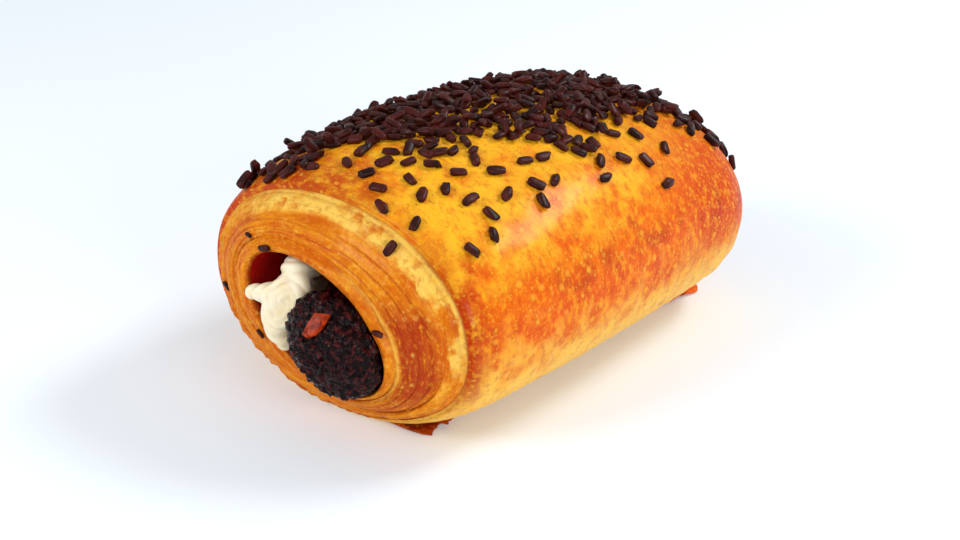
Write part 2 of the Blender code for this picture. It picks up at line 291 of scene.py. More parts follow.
def end_face(theta, share, near):
    """Points of a layered end, with the masks that its colours are mixed from.

    Share runs from 0 at the lip of the hollow to 1 at the outer rim.
    """
    rim, lip, y0, out = (NEAR_RIM, NEAR_LIP, 0.0, -1) if near else (FAR_RIM, FAR_LIP, LENGTH, 1)
    inner = hollow_points(theta, np.full_like(theta, y0))
    outer = ring_points(theta, np.full_like(theta, y0), rim)
    point = mix(inner, outer, share)
    turn, across = wound(theta if near else -theta, share)
    sine = np.sin(theta)
    cosine = np.cos(theta)

    # Each turn of the sheet bulges, with a groove between turns that closes over the crest.
    broad = fractal(point, 26, 2, 11)
    middle = fractal(point, 9, 2, 13)
    across = np.clip(across + 0.06 * middle * np.sin(math.pi * across), 0, 1)
    edge = np.minimum(across, 1 - across)
    boundary = turn + (across > 0.5)
    shallow = np.exp(-(((boundary - 2) / 0.5) ** 2)) * smooth(-0.55, 0.3, sine)
    bulge = 1 - np.abs(2 * across - 1) ** 2.6 * (1 - 0.75 * shallow)
    groove = smooth(0.09, 0.0, edge) * (1 - 0.95 * shallow) * (0.6 + 0.8 * middle)

    # The outer turn is open crumb; further in, the leaves show as lines and fibres round the ring.
    crumb = smooth(1.88, 2.42, turn + across + 0.12 * middle)
    ringwise = np.stack([5 * cosine, 24 * share, 5 * sine], -1)
    fibre = fractal(ringwise, 1.6, 3, 16)
    presence = fractal(point, 13, 2, 14)
    lines = leaf_seams(share, broad + 0.3 * middle, presence) * (1 - 0.6 * crumb)
    ledge_away = (share - 0.95 - 0.01 * middle) / 0.014
    ledge = np.exp(-(ledge_away**2)) * smooth(-0.4, 0.3, sine + 0.5 * middle)

    # Pores, and the sunken rusty side where the turns have opened.
    rough = fractal(point, 1.3, 3, 12)
    pit_away, pit_tag = cell_distance(point, 2.0, 15)
    pits = smooth(0.34, 0.12, pit_away) * smooth(0.1, 0.5, pit_tag)
    open_side = smooth(0.15, 0.65, cosine) * smooth(-0.85, -0.35, sine) * smooth(0.75, 0.35, sine)
    open_side = open_side * smooth(0.21, 0.28, share) * smooth(0.74, 0.62, share + 0.08 * middle)

    relief = 1.3 * bulge - 0.30 * lines - 0.25 * ledge + 0.22 * fibre
    relief = relief + (0.05 + 0.70 * crumb) * rough * bulge
    relief = relief + pits * (0.25 * open_side - 0.30 * crumb) - 0.25 * open_side
    fade = smooth(0, 0.04, share) * smooth(1.0, 0.97, share)
    dome = dome_height(lip + (rim - lip) * share, near)
    point[..., 1] = y0 + out * (dome + relief - 0.9 + 0.5 * middle * fade)
    masks = {
        "groove": groove, "ledge": ledge, "lines": lines, "crumb": crumb, "fibre": fibre,
        "rough": rough, "pits": pits, "open_side": open_side, "share": share, "broad": broad,
    }
    return point, masks


def skin_relief(point, theta, y):
    """How far the skin swells or wrinkles out from the smooth section."""
    swell = 0.55 * fractal(point * np.array([1, 0.7, 1]), 26, 2, 21)
    blister = fractal(point, 5, 2, 22)
    swell = swell + 0.10 * blister
    low_side = smooth(0.15, -0.5, np.sin(theta)) * smooth(-0.2, 0.5, np.cos(theta))
    pleat = np.sin(1.1 * y + 0.30 * point[..., 2] + 2.2 * fractal(point, 14, 2, 23))
    return swell + 0.16 * low_side * pleat * smooth(20, 60, y)


def spread(theta, steps):
    """Full grids of two arrays that run across each other."""
    return [grid.copy() for grid in np.broadcast_arrays(theta, steps)]


def roll_grid():
    """All points of the closed roll surface and the attributes of its looks, row by row round it."""
    theta = np.linspace(-math.pi / 2, 1.5 * math.pi, AROUND, endpoint=False)[:, None]
    blocks = []

    near_share = np.linspace(0, 1, NEAR_FACE_STEPS, endpoint=False)[None, :]
    grid_theta, grid_share = spread(theta, near_share)
    blocks.append(face_block(*end_face(grid_theta, grid_share, True), grid_theta, 1.0))

    near_y = NEAR_ROUND * (1 - np.cos(np.linspace(0, math.pi / 2, NEAR_ROUND_STEPS)))
    body_y = np.linspace(NEAR_ROUND, LENGTH - FAR_ROUND, BODY_STEPS + 2)[1:-1]
    far_y = LENGTH - FAR_ROUND * (1 - np.cos(np.linspace(math.pi / 2, 0, FAR_ROUND_STEPS)))
    skin_y = np.concatenate([near_y, body_y, far_y])[None, :]
    blocks.append(skin_block(*spread(theta, skin_y)))

    far_share = np.linspace(1, 0, FAR_FACE_STEPS + 1)[None, 1:]
    grid_theta, grid_share = spread(theta, far_share)
    blocks.append(face_block(*end_face(grid_theta, grid_share, False), grid_theta, 0.7))

    depth = 0.5 - 0.5 * np.cos(np.linspace(0, math.pi, HOLLOW_STEPS))[None, 1:-1]
    far_lip = blocks[2]["point"][:, -1:, 1]
    near_lip = blocks[0]["point"][:, :1, 1]
    grid_y = far_lip + (near_lip - far_lip) * depth
    grid_theta = np.broadcast_to(theta, grid_y.shape)
    wall = hollow_points(grid_theta, grid_y)
    # The hollow's wall is painted one dark red: painted shade all through the tube.
    colour = np.broadcast_to(linear(HOLLOW_SHADE_RED), wall.shape).copy()
    blocks.append({"point": wall, "colour": colour, "gloss": np.zeros(grid_y.shape), "wrap": wall})
    return {key: np.concatenate([block[key] for block in blocks], axis=1) for key in blocks[0]}


def face_block(point, masks, theta, pale):
    """Colours of a layered end: pale crumb outside, painted paler still where the light falls on its
    upper left, lined orange inside, rust on the open side.
    """
    cosine = np.cos(theta)
    sine = np.sin(theta)
    share = masks["share"]
    crumb = masks["crumb"]
    mottle = 0.5 + 0.9 * fractal(point, 2.6, 3, 31)
    patch = 0.5 + 0.9 * fractal(point, 8, 2, 32)
    colour = np.broadcast_to(linear(CRUMB_ORANGE), point.shape).copy()
    gold = 0.55 * (0.5 + 1.7 * masks["fibre"]) + 0.35 * patch + 0.3 * crumb - 0.1
    colour = mix(colour, linear(CRUMB_GOLD), gold)
    # Painted light: the crumb is painted paler on the upper left of the end and where it faces up,
    # where the light falls; pale sets how much of it, less at the far end.
    lit = smooth(-0.75, 0.1, sine) * smooth(-1.05, -0.2, cosine) * pale
    lit = lit * (0.55 + 0.45 * smooth(-0.25, 0.45, sine))
    right = smooth(0.25, 0.75, cosine) * smooth(0.75, 0.25, sine)
    streaky = (0.6 + 1.8 * right) * masks["fibre"] - 0.42 * right
    bright = crumb * lit * (0.95 + 1.2 * masks["rough"] + streaky) * (1 - 0.8 * masks["pits"])
    colour = mix(colour, linear(CRUMB_PALE), bright)
    ridge = np.exp(-(((share - 0.19) / 0.035) ** 2))
    ridge = ridge * smooth(0.2, 0.7, cosine) * smooth(-0.95, -0.4, sine)
    colour = mix(colour, linear(CRUMB_PALE), 0.75 * ridge)
    brown = masks["open_side"] * np.clip(0.95 + 0.7 * (patch - 0.5) + 0.5 * (mottle - 0.5), 0, 1)
    colour = mix(colour, linear(CRUMB_BROWN), 0.92 * brown)
    colour = mix(colour, linear(CRUMB_PALE), 0.8 * masks["pits"] * masks["open_side"])
    colour = mix(colour, linear(CRUMB_BROWN), 0.75 * masks["lines"])
    under = smooth(-0.35, -0.8, sine + 0.2 * masks["broad"])
    under = under * smooth(0.84, 0.97, share + 0.25 * (mottle - 0.5))
    colour = mix(colour, linear(CRUMB_BROWN), 0.7 * under)
    # Browned edges of the turns along each groove, with painted shade deepest in it.
    colour = mix(colour, linear(CRUMB_BROWN), 0.7 * masks["groove"])
    colour = mix(colour, linear(CREVICE_SHADE), 0.9 * masks["groove"] - 0.45)
    colour = mix(colour, linear(CRUMB_BROWN), 0.30 * masks["ledge"])
    # Painted shade at the lip, where the hollow's shade runs out onto the end.
    wall = smooth(0.06, 0.0, share)
    colour = mix(colour, linear(HOLLOW_SHADE_RED), 0.6 * wall)
    gloss = np.clip(0.25 - 0.15 * crumb + 0.3 * masks["open_side"], 0.1, 1)
    wrap = np.stack([12 * cosine, 26 * share - 300, 12 * sine], -1)
    return {"point": point, "colour": colour, "gloss": gloss, "wrap": wrap}


def skin_block(theta, y):
    """The skin between the two rims, with its relief and colours."""
    point = ring_points(theta, y, rounding(y))
    centre = np.stack([np.zeros_like(y), y, np.full_like(y, AXIS_HEIGHT)], -1)
    outward = point - centre
    outward /= np.linalg.norm(outward, axis=-1, keepdims=True)
    amount = skin_relief(point, theta, y) * smooth(0, 6, y) * smooth(LENGTH, LENGTH - 6, y)
    resting = smooth(0.5, 3.0, point[..., 2])
    point = point + outward * (amount * resting)[..., None]
    dip = np.exp(-((y / 0.5) ** 2)) * smooth(0.02, 2.5, point[..., 2])
    point[..., 1] += 0.9 * dip
    point[..., 2] = np.maximum(point[..., 2], 0)
    wrap = np.stack([MEAN_RADIUS * np.cos(theta), y, MEAN_RADIUS * np.sin(theta)], -1)
    colour = skin_colour(point, theta, y)
    return {"point": point, "colour": colour, "gloss": np.full(y.shape, 1.0), "wrap": wrap}


def skin_colour(point, theta, y):
    """Egg-washed crust: gold on the shoulder, mottled orange on the sides, paler low down.

    The gold is the crust's mottled tone mixed with painted top light, and the pale low down is partly
    less-browned crust, partly painted light.
    It darkens to rust along the near rim and deepens to amber towards the far end.
    """
    sine = np.sin(theta)
    cosine = np.cos(theta)
    broad = fractal(point, 24, 3, 41)
    patchy = fractal(point, 8, 3, 42)
    blotch = fractal(point * np.array([0.8, 1.0, 0.8]), 2.8, 3, 43)
    colour = np.broadcast_to(linear(SKIN_ORANGE), point.shape).copy()

    # Painted light: the skin is painted gold where it faces up, broken up by the crust's mottled tone,
    # and less so towards the far end.
    gold = smooth(0.15, 1.15, sine + 0.35 * broad + 0.80 * blotch + 0.55 * patchy)
    gold = gold * (1 - 0.65 * smooth(50, 88, y + 14 * broad))
    colour = mix(colour, linear(SKIN_GOLD_AND_TOP_LIGHT), 0.95 * gold)
    # Paler where the skin faces down: partly less-browned crust, partly painted light.
    low = smooth(0.14, -0.42, sine + 0.15 * broad + 0.28 * blotch)
    colour = mix(colour, linear(SKIN_PALE_AND_LOW_LIGHT), 0.88 * low)

    belt = np.clip(1 - ((sine - 0.08 - 0.15 * smooth(30, 90, y)) / 0.34) ** 2, -1.5, 1)
    amber = smooth(0.05, 0.55, blotch + 0.5 * patchy + 0.40 * belt + 0.4 * broad - 0.12)
    colour = mix(colour, linear(SKIN_AMBER), 0.75 * amber * smooth(-0.40, 0.10, sine))
    rust = smooth(0.50, 1.00, blotch + 0.9 * patchy + 0.35 * belt + 0.4 * broad)
    rust = rust * smooth(-0.15, 0.20, sine)

    reach = 7.0 + 7.0 * smooth(0.6, -0.1, cosine)
    rim = smooth(1.0, 0.15, (y + 5 * patchy + 3 * blotch) / reach) * smooth(-0.75, -0.15, sine)
    rim = rim * (1 - 0.80 * np.exp(-(((theta - 1.10) / 0.38) ** 2)))
    end = smooth(58, 88, y + 12 * broad + 8 * blotch)
    end = end * smooth(0.92, 0.5, sine) * smooth(-0.25, 0.10, sine)
    colour = mix(colour, linear(SKIN_AMBER), 0.8 * end)
    colour = mix(colour, linear(SKIN_RUST), np.clip(0.6 * rust + 0.9 * rim + 0.25 * end, 0, 0.95))
    left = smooth(-0.2, -0.8, cosine) * smooth(0.9, 0.4, sine)
    return mix(colour, linear(SKIN_AMBER), 0.4 * left)


def grid_quads(rows, columns, closed):
    """Quads of a grid whose rows all close, and whose last row meets its first if it is closed."""
    i, j = np.meshgrid(np.arange(rows if closed else rows - 1), np.arange(columns), indexing="ij")
    following = (i + 1) % rows
    beside = (j + 1) % columns
    corners = ((i, j), (following, j), (following, beside), (i, beside))
    quads = np.stack([row * columns + column for row, column in corners], -1)
    return [tuple(quad) for quad in quads.reshape(-1, 4).tolist()]


# The torn tail's leaves, from the floor up: first y, last y, reach in x, lowest z, highest z.
TAIL_LEAVES = (
    (2.0, 100.5, 19.9, 0.0, 1.0),
    (2.6, 99.5, 19.0, 0.8, 1.7),
    (3.0, 99.2, 19.4, 1.6, 2.4),
    (3.6, 98.6, 17.6, 2.3, 3.4),
)
TAIL_ROOT = 2.0
TAIL_GLOSS = 0.5


def tail_sheets():
    """The torn tail of the sheet under the roll, as stacked thin leaves."""
    pieces = []
    for number, (start, end, tip, low, high) in enumerate(TAIL_LEAVES):
        along = np.linspace(0, 1, 100)[:, None]
        turn = turns(16)
        y = start + (end - start) * along + 0 * turn
        edge = np.minimum(y - start, end - y)
        corner = 1 - np.sqrt(1 - (1 - np.clip(edge / 6.0, 0, 1)) ** 2)
        ragged = np.stack([np.full_like(y, 7.0 * number), y, np.zeros_like(y)], -1)
        near_tear = smooth(22, 5, y)
        reach = tip + 3.5 * (2 * y / LENGTH - 1) ** 2 - 4.0 * corner
        reach = reach + (1.5 + 1.8 * near_tear) * fractal(ragged, 4, 3, 51)
        half = (reach - TAIL_ROOT) / 2
        x = (TAIL_ROOT + reach) / 2 + half * signed_power(np.cos(turn), 5.0)
        lift = 0.30 * smooth(6, 0, edge) * number
        lift = lift + (0.35 + 1.1 * smooth(24, 6, y)) * fractal(ragged, 6, 2, 54)
        thick = (high - low) / 2 * (1 - 0.45 * corner)
        z = (low + high) / 2 + lift + thick * signed_power(np.sin(turn), 2.4)
        crinkle = fractal(ragged + np.stack([x, 0 * x, 0 * x], -1), 3, 2, 52)
        z = z + 0.18 * crinkle * smooth(0.3, 1.0, z)
        pieces.append(np.stack([x, y, np.maximum(z, 0)], -1))
    return pieces


def tail_colour(flat):
    """Orange and amber leaves, dark red where they are torn at the near corner."""
    shade = 0.5 + 0.5 * fractal(flat, 2.5, 3, 53)
    torn = smooth(12.0, 18.5, flat[:, 0]) * smooth(30, 4, flat[:, 1])
    tone = mix(linear(SKIN_AMBER)[None], linear(SKIN_ORANGE)[None], shade)
    return mix(tone, linear(TORN_RED)[None], 0.75 * torn + 0.9 * (shade < 0.4))


def tube_mesh(points):
    """Quads and end caps of an open tube given as rings of points."""
    rows, columns = points.shape[:2]
    faces = grid_quads(rows, columns, closed=False)
    faces.append(tuple(range(columns)))
    faces.append(tuple(rows * columns - 1 - k for k in range(columns)))
    return faces


def join_tubes(tubes):
    """Points and faces of several tubes in one mesh."""
    points = []
    faces = []
    for tube in tubes:
        start = len(points)
        faces += [tuple(start + k for k in face) for face in tube_mesh(tube)]
        points += tube.reshape(-1, 3).tolist()
    return points, faces


def add_attribute(mesh, name, kind, field, values):
    layer = mesh.attributes.new(name, kind, "POINT")
    layer.data.foreach_set(field, np.asarray(values, dtype=float).ravel())


def add_piece(name, points, faces, smooth_shading=True):
    """Make a mesh piece from millimetre points in the roll's frame."""
    mesh = bpy.data.meshes.new(name)
    placed = (np.asarray(points) + np.array([0, SHIFT_Y, 0])) * MM
    mesh.from_pydata(placed.tolist(), [], faces)
    mesh.validate()
    turn_faces_out(mesh)
    if smooth_shading:
        mesh.shade_smooth()
    piece = bpy.data.objects.new(name, mesh)
    bpy.context.scene.collection.objects.link(piece)
    return piece


def turn_faces_out(mesh):
    """Point every closed shell's faces outward."""
    shells = bmesh.new()
    shells.from_mesh(mesh)
    bmesh.ops.recalc_face_normals(shells, faces=shells.faces[:])
    shells.to_mesh(mesh)
    shells.free()
    mesh.update()


def make_roll():
    """The baked roll with its tail, and a search tree of its skin for setting grains down on."""
    grid = roll_grid()
    rows, columns = grid["point"].shape[:2]
    points = grid["point"].reshape(-1, 3)
    faces = grid_quads(rows, columns, closed=True)
    colour = grid["colour"].reshape(-1, 3)
    gloss = grid["gloss"].ravel()
    wrap = grid["wrap"].reshape(-1, 3)
    tree = BVHTree.FromPolygons(points.tolist(), faces)
    leaves, leaf_faces = join_tubes(tail_sheets())
    leaves = np.asarray(leaves)
    faces += [tuple(len(points) + k for k in face) for face in leaf_faces]
    points = np.concatenate([points, leaves])
    colour = np.concatenate([colour, tail_colour(leaves)])
    colour = np.c_[colour, np.ones(len(colour))]
    gloss = np.concatenate([gloss, np.full(len(leaves), TAIL_GLOSS)])
    wrap = np.concatenate([wrap, leaves])
    roll = add_piece("baked_roll", points, faces)
    add_attribute(roll.data, "crust_colour", "FLOAT_COLOR", "color", colour)
    add_attribute(roll.data, "gloss", "FLOAT", "value", gloss)
    add_attribute(roll.data, "wrap", "FLOAT_VECTOR", "vector", wrap)
    return roll, tree


# ---- materials

def new_material(name):
    material = bpy.data.materials.new(name)
    material.use_nodes = True
    nodes = material.node_tree.nodes
    nodes.clear()
    output = nodes.new("ShaderNodeOutputMaterial")
    shader = nodes.new("ShaderNodeBsdfPrincipled")
    material.node_tree.links.new(shader.outputs[0], output.inputs[0])
    return material, shader


def add_node(material, kind, inputs=(), **settings):
    node = material.node_tree.nodes.new(kind)
    for key, value in settings.items():
        setattr(node, key, value)
    for key, value in dict(inputs).items():
        if isinstance(value, bpy.types.NodeSocket):
            material.node_tree.links.new(value, node.inputs[key])
        else:
            node.inputs[key].default_value = value
    return node


def noise_node(material, position, scale, detail, roughness=0.55):
    inputs = {"Vector": position, "Scale": scale, "Detail": detail, "Roughness": roughness}
    return add_node(material, "ShaderNodeTexNoise", inputs).outputs["Fac"]


def ramp_node(material, value, low, high, start=0.0, end=1.0):
    inputs = {"Value": value, "From Min": low, "From Max": high, "To Min": start, "To Max": end}
    return add_node(material, "ShaderNodeMapRange", inputs).outputs[0]


def add(material, first, second):
    return add_node(material, "ShaderNodeMath", {0: first, 1: second}, operation="ADD").outputs[0]


def times(material, first, second):
    return add_node(material, "ShaderNodeMath", {0: first, 1: second}, operation="MULTIPLY").outputs[0]


def mix_colour(material, factor, first, second):
    node = material.node_tree.nodes.new("ShaderNodeMix")
    node.data_type = "RGBA"
    for socket, value in ((node.inputs[0], factor), (node.inputs[6], first), (node.inputs[7], second)):
        if isinstance(value, bpy.types.NodeSocket):
            material.node_tree.links.new(value, socket)
        else:
            socket.default_value = value
    return node.outputs[2]


def bump_node(material, shader, height, strength, distance):
    inputs = {"Height": height, "Strength": strength, "Distance": distance}
    bump = add_node(material, "ShaderNodeBump", inputs).outputs[0]
    material.node_tree.links.new(bump, shader.inputs["Normal"])


def rgba(rgb):
    return (*linear(rgb).tolist(), 1.0)


# How noises break up the crust's colour: noise, where it starts and is full, strength, place, colour.
CRUST_MOTTLE = (
    ("streak", 0.50, 0.66, 0.45, "skin", (196, 62, 2)),
    ("streak", 0.47, 0.34, 0.50, "skin", (250, 176, 26)),
    ("speckle", 0.54, 0.68, 0.40, "baked", (184, 58, 2)),
    ("speckle", 0.46, 0.30, 0.60, "baked", (252, 190, 34)),
    ("fleck", 0.52, 0.66, 0.45, "crumb", (196, 92, 12)),
    ("fleck", 0.46, 0.34, 0.38, "crumb", (254, 204, 84)),
)
# Blisters of the skin, from broad to fine: cells per millimetre, share of the cells without one.
CRUST_BLISTERS = ((0.36, 0.58), (0.60, 0.50), (1.05, 0.55))
BLISTER_COLOUR = (252, 184, 50)
PORE_DEPTH = -2.2


def crust_material():
    """Baked dough: base colour from the mesh, broken up by streaks, speckle and small blisters.

    The mesh's gloss tells the parts apart: 1 is the skin, about 0.1 to 0.5 the layered ends and the
    tail, and 0 the hollow's wall.
    """
    material, shader = new_material("egg_washed_crust")
    links = material.node_tree.links
    colour, gloss, wrap = (
        add_node(material, "ShaderNodeAttribute", attribute_name=name).outputs[output]
        for name, output in (("crust_colour", "Color"), ("gloss", "Fac"), ("wrap", "Vector"))
    )
    lengthwise = {"Vector": wrap, "Scale": (0.40, 0.62, 0.40)}
    stretched = add_node(material, "ShaderNodeMapping", lengthwise).outputs[0]
    place = add_node(material, "ShaderNodeTexCoord").outputs["Object"]
    noises = {
        "streak": noise_node(material, stretched, 1.0, 5, 0.62),
        "speckle": noise_node(material, wrap, 1.0, 6, 0.68),
        "fleck": noise_node(material, place, 750, 5, 0.70),
    }
    torn = ramp_node(material, gloss, 0.60, 0.40)
    skin = ramp_node(material, gloss, 0.55, 0.95)
    baked = ramp_node(material, gloss, 0.02, 0.08)
    places = {"skin": skin, "baked": baked, "crumb": times(material, torn, baked)}
    for noise, start, full, strength, where, tint in CRUST_MOTTLE:
        amount = ramp_node(material, noises[noise], start, full, 0.0, strength)
        amount = times(material, amount, places[where])
        colour = mix_colour(material, amount, colour, rgba(tint))

    height = add(material, noises["speckle"], noises["streak"])
    pores = times(material, noises["fleck"], PORE_DEPTH)
    height = add(material, height, times(material, pores, torn))
    for density, bare in CRUST_BLISTERS:
        cells = add_node(material, "ShaderNodeTexVoronoi", {"Vector": wrap, "Scale": density})
        spot = ramp_node(material, cells.outputs["Distance"], 0.34, 0.16)
        chosen = ramp_node(material, cells.outputs["Color"], bare, bare + 0.08)
        blister = times(material, times(material, spot, chosen), skin)
        tinted = times(material, blister, 0.45)
        colour = mix_colour(material, tinted, colour, rgba(BLISTER_COLOUR))
        height = add(material, height, times(material, blister, 0.8))
    links.new(colour, shader.inputs["Base Color"])
    links.new(ramp_node(material, gloss, 0, 1, 0.75, 0.42), shader.inputs["Roughness"])
    bump_node(material, shader, height, 0.6, 0.0006)
    shader.inputs["Specular IOR Level"].default_value = 0.07
    shader.inputs["Coat Weight"].default_value = 0.12
    shader.inputs["Coat Roughness"].default_value = 0.18
    return material


def toned_material(name, tone, limits, colours, roughness, specular, grain=None):
    """A material of two mottled tones.

    Tone is a noise's scale, detail and roughness, and grain a fine bump's scale, detail, strength
    and distance.
    """
    material, shader = new_material(name)
    position = add_node(material, "ShaderNodeTexCoord").outputs["Object"]
    share = ramp_node(material, noise_node(material, position, *tone), *limits)
    colour = mix_colour(material, share, *(rgba(colour) for colour in colours))
    material.node_tree.links.new(colour, shader.inputs["Base Color"])
    if grain:
        scale, detail, strength, distance = grain
        bump_node(material, shader, noise_node(material, position, scale, detail), strength, distance)
    shader.inputs["Roughness"].default_value = roughness
    shader.inputs["Specular IOR Level"].default_value = specular
    return material, shader


def sprinkle_material():
    return toned_material(
        "dark_sprinkle", (260, 2), (0.35, 0.65), ((32, 8, 8), (76, 25, 20)),
        roughness=0.38, specular=0.14, grain=(900, 3, 0.4, 0.0002),
    )[0]


def cream_material():
    material, shader = toned_material(
        "whipped_cream", (160, 2), (0.4, 0.7), ((244, 233, 206), (238, 220, 180)),
        roughness=0.38, specular=0.25,
    )
    shader.inputs["Subsurface Weight"].default_value = 0.45
    shader.inputs["Subsurface Radius"].default_value = (1.0, 0.75, 0.40)
    shader.inputs["Subsurface Scale"].default_value = 0.0025
    return material


def filling_material():
    return toned_material(
        "dark_chocolate_crumb", (820, 3, 0.6), (0.50, 0.76), ((15, 2, 4), (92, 27, 25)),
        roughness=0.24, specular=0.10, grain=(1100, 4, 0.6, 0.0003),
    )[0]


def shard_material():
    return toned_material(
        "brown_shard", (700, 3), (0.35, 0.65), ((104, 14, 2), (190, 66, 22)),
        roughness=0.35, specular=0.12,
    )[0]


# ---- fillings

DOME_SHARE = 0.35  # share of a log's rows that its front dome takes
SPREAD_DEPTH = 6.0  # how far behind the lip a log starts to spread out to the wall
WALL_GAP = 0.3


def wall_distance(centre, turn, y):
    """Distance to the hollow's wall from a centre in its tilted axes, towards each turn."""
    _, _, long_axis, short_axis = hollow_axes(y)
    long_axis = long_axis - WALL_GAP
    short_axis = short_axis - WALL_GAP
    du, dv = np.cos(turn) / long_axis, np.sin(turn) / short_axis
    cu, cv = centre[0] / long_axis, centre[1] / short_axis
    a = du * du + dv * dv
    b = du * cu + dv * cv
    return (-b + np.sqrt(np.maximum(b * b - a * (cu * cu + cv * cv - 1), 0))) / a


def log_points(centre, radii, side, cap_y, front, far, rows, columns):
    """A filling along the hollow: a dome at its front, then spreading out to the wall deeper in.

    Side is 1 or -1, the side of the plane where the fillings meet that this one lies on.
    """
    share = np.linspace(0, 1, rows)[:, None]
    turn = turns(columns)
    in_dome = share < DOME_SHARE
    dome = np.clip(share / DOME_SHARE, 0.012, 1) * math.pi / 2
    body = np.clip((share - DOME_SHARE) / (1 - DOME_SHARE), 0, 1)
    dome_y = cap_y + front * (1 - np.cos(dome))
    y = np.where(in_dome, dome_y, cap_y + front + (far - cap_y - front) * body**1.6) + 0 * turn
    radius = 1 / np.hypot(np.cos(turn) / radii[0], np.sin(turn) / radii[1])
    reach = radius * np.where(in_dome, np.sin(dome), 1.0)
    reach = reach + np.clip(y - LIP_Y - SPREAD_DEPTH, 0, 40) * (share > DOME_SHARE)
    reach = np.where(y > LIP_Y - 0.6, np.minimum(reach, wall_distance(centre, turn, y)), reach)
    towards = -side * np.cos(turn)
    limit = side * (centre[0] - FILLINGS_MEET) / np.clip(towards, 0.05, 1) ** 0.85
    reach = np.where(towards > 0.05, np.minimum(reach, limit), reach)
    closing = np.sqrt(np.clip((far - y) / 3.0, 0, 1))
    reach = reach * (0.35 + 0.65 * closing)
    return tilted(y, centre[0] + reach * np.cos(turn), centre[1] + reach * np.sin(turn))


# The two fillings, in the hollow's tilted axes.
FILLING_CENTRE = (8.1, 0.5)
FILLING_RADII = (11.9, 9.8)
FILLING_BULGE = 7.2
CREAM_CENTRE = (-9.5, -1.0)
CREAM_RADII = (5.0, 5.0)
CREAM_START = 34.0  # behind here the cream is a plain log
CREAM_VOXEL = 0.42
FILLINGS_MEET = -4.2


def make_filling():
    """The dark log, covered in coarse and fine crumbs where it shows at either end."""
    cap = LIP_Y - 0.8 - FILLING_BULGE
    far = LENGTH + 2.6
    points = log_points(FILLING_CENTRE, FILLING_RADII, 1, cap, FILLING_BULGE, far, 230, 190)
    flat = points.reshape(-1, 3)
    middle = tilted(np.clip(flat[:, 1], LIP_Y, LENGTH), *FILLING_CENTRE)
    outward = flat - middle
    outward /= np.maximum(np.linalg.norm(outward, axis=-1, keepdims=True), 1e-6)
    away, tag = cell_distance(flat + 0.6 * value_noise(flat * 0.9, 60)[..., None], 1.8, 61)
    small, _ = cell_distance(flat, 0.9, 62)
    bump = (0.40 + 0.60 * (tag > 0)) * np.sqrt(np.clip(1 - (away / 0.72) ** 2, 0, 1))
    bump = bump + 0.30 * np.sqrt(np.clip(1 - (small / 0.7) ** 2, 0, 1))
    bump = bump + 0.8 * fractal(flat, 5.0, 3, 63) - 0.5
    exposed = smooth(LIP_Y + 6, LIP_Y - 1, flat[:, 1]) + smooth(LENGTH - 3, LENGTH + 2, flat[:, 1])
    flat = flat + outward * (bump * np.clip(exposed, 0.0, 1))[:, None]
    return add_piece("chocolate_crumb_filling", flat, tube_mesh(points))


# Ropes of piped cream, each a few knots of (u, v, y, radius) in the hollow's tilted axes.
CREAM_ROPES = (
    ((-11, -2.6, 38, 4.0), (-11, -2.4, 10, 4.0), (-9.8, -0.6, -2.5, 4.7), (-8.8, 0.4, -6.0, 3.6)),
    ((-12.0, 2.4, 1.0, 3.2), (-11.0, 4.6, -3.5, 3.0), (-9.4, 6.0, -4.2, 2.6), (-8.2, 6.0, -1.5, 2.1)),
    ((-9.5, 0.4, -6.0, 2.9), (-13.0, -1.2, -8.2, 2.1), (-16.0, -2.6, -9.2, 1.6)),
    ((-10.5, 0.5, -6, 3.0), (-10.2, -4, -7.6, 3.0), (-8.0, -6.6, -8.4, 2.8), (-5.4, -8.2, -8.4, 2.1)),
    ((-7.8, 4.8, -5.6, 2.2), (-4.8, 3.0, -6.8, 2.3), (-4.6, -0.6, -8.0, 2.4), (-6.6, -3.6, -9.2, 2.2)),
)


def bead(radius):
    """Points of a small ball, the unit that ropes of cream are strung from."""
    rows = 8
    columns = 12
    latitude = np.linspace(-1.45, 1.45, rows)[:, None]
    longitude = turns(columns)
    x = radius * np.cos(latitude) * np.cos(longitude)
    y = radius * np.sin(latitude) + 0 * longitude
    z = radius * np.cos(latitude) * np.sin(longitude)
    return np.stack([x, y, z], -1)


def rope_stations(rope, spacing):
    """Smooth stations along a rope given by a few (u, v, y, radius) knots."""
    knots = np.asarray(rope)
    count = len(knots)
    places = np.linspace(0, count - 1, 200)
    padded = np.vstack([2 * knots[0] - knots[1], knots, 2 * knots[-1] - knots[-2]])
    whole = np.minimum(places.astype(int), count - 2)
    t = (places - whole)[:, None]
    p0, p1, p2, p3 = (padded[whole + k] for k in range(4))
    path = 2 * p1 + (p2 - p0) * t
    path = path + (2 * p0 - 5 * p1 + 4 * p2 - p3) * t**2 + (3 * p1 - p0 - 3 * p2 + p3) * t**3
    path = path / 2
    length = np.r_[0, np.cumsum(np.linalg.norm(np.diff(path[:, :3], axis=0), axis=1))]
    wanted = np.linspace(0, length[-1], max(3, int(length[-1] / spacing)))
    return np.stack([np.interp(wanted, length, path[:, k]) for k in range(4)], -1)


def make_cream():
    """Ropes of cream at the front and a log deep in the hollow, merged into one soft body."""
    tubes = []
    for rope in CREAM_ROPES:
        for u, v, y, radius in rope_stations(rope, 0.45):
            tubes.append(bead(radius) + tilted(np.float64(y), u, v))
    tubes.append(log_points(CREAM_CENTRE, CREAM_RADII, -1, CREAM_START, 6.0, LENGTH + 2.0, 60, 48))
    cream = add_piece("cream_swirl", *join_tubes(tubes))
    remesh = cream.modifiers.new("merge", "REMESH")
    remesh.mode = "VOXEL"
    remesh.voxel_size = CREAM_VOXEL * MM
    remesh.use_smooth_shade = True
    soften = cream.modifiers.new("soften", "SMOOTH")
    soften.factor = 0.5
    soften.iterations = 4
    apply_modifiers(cream)
    fold_cream(cream.data)
    return cream


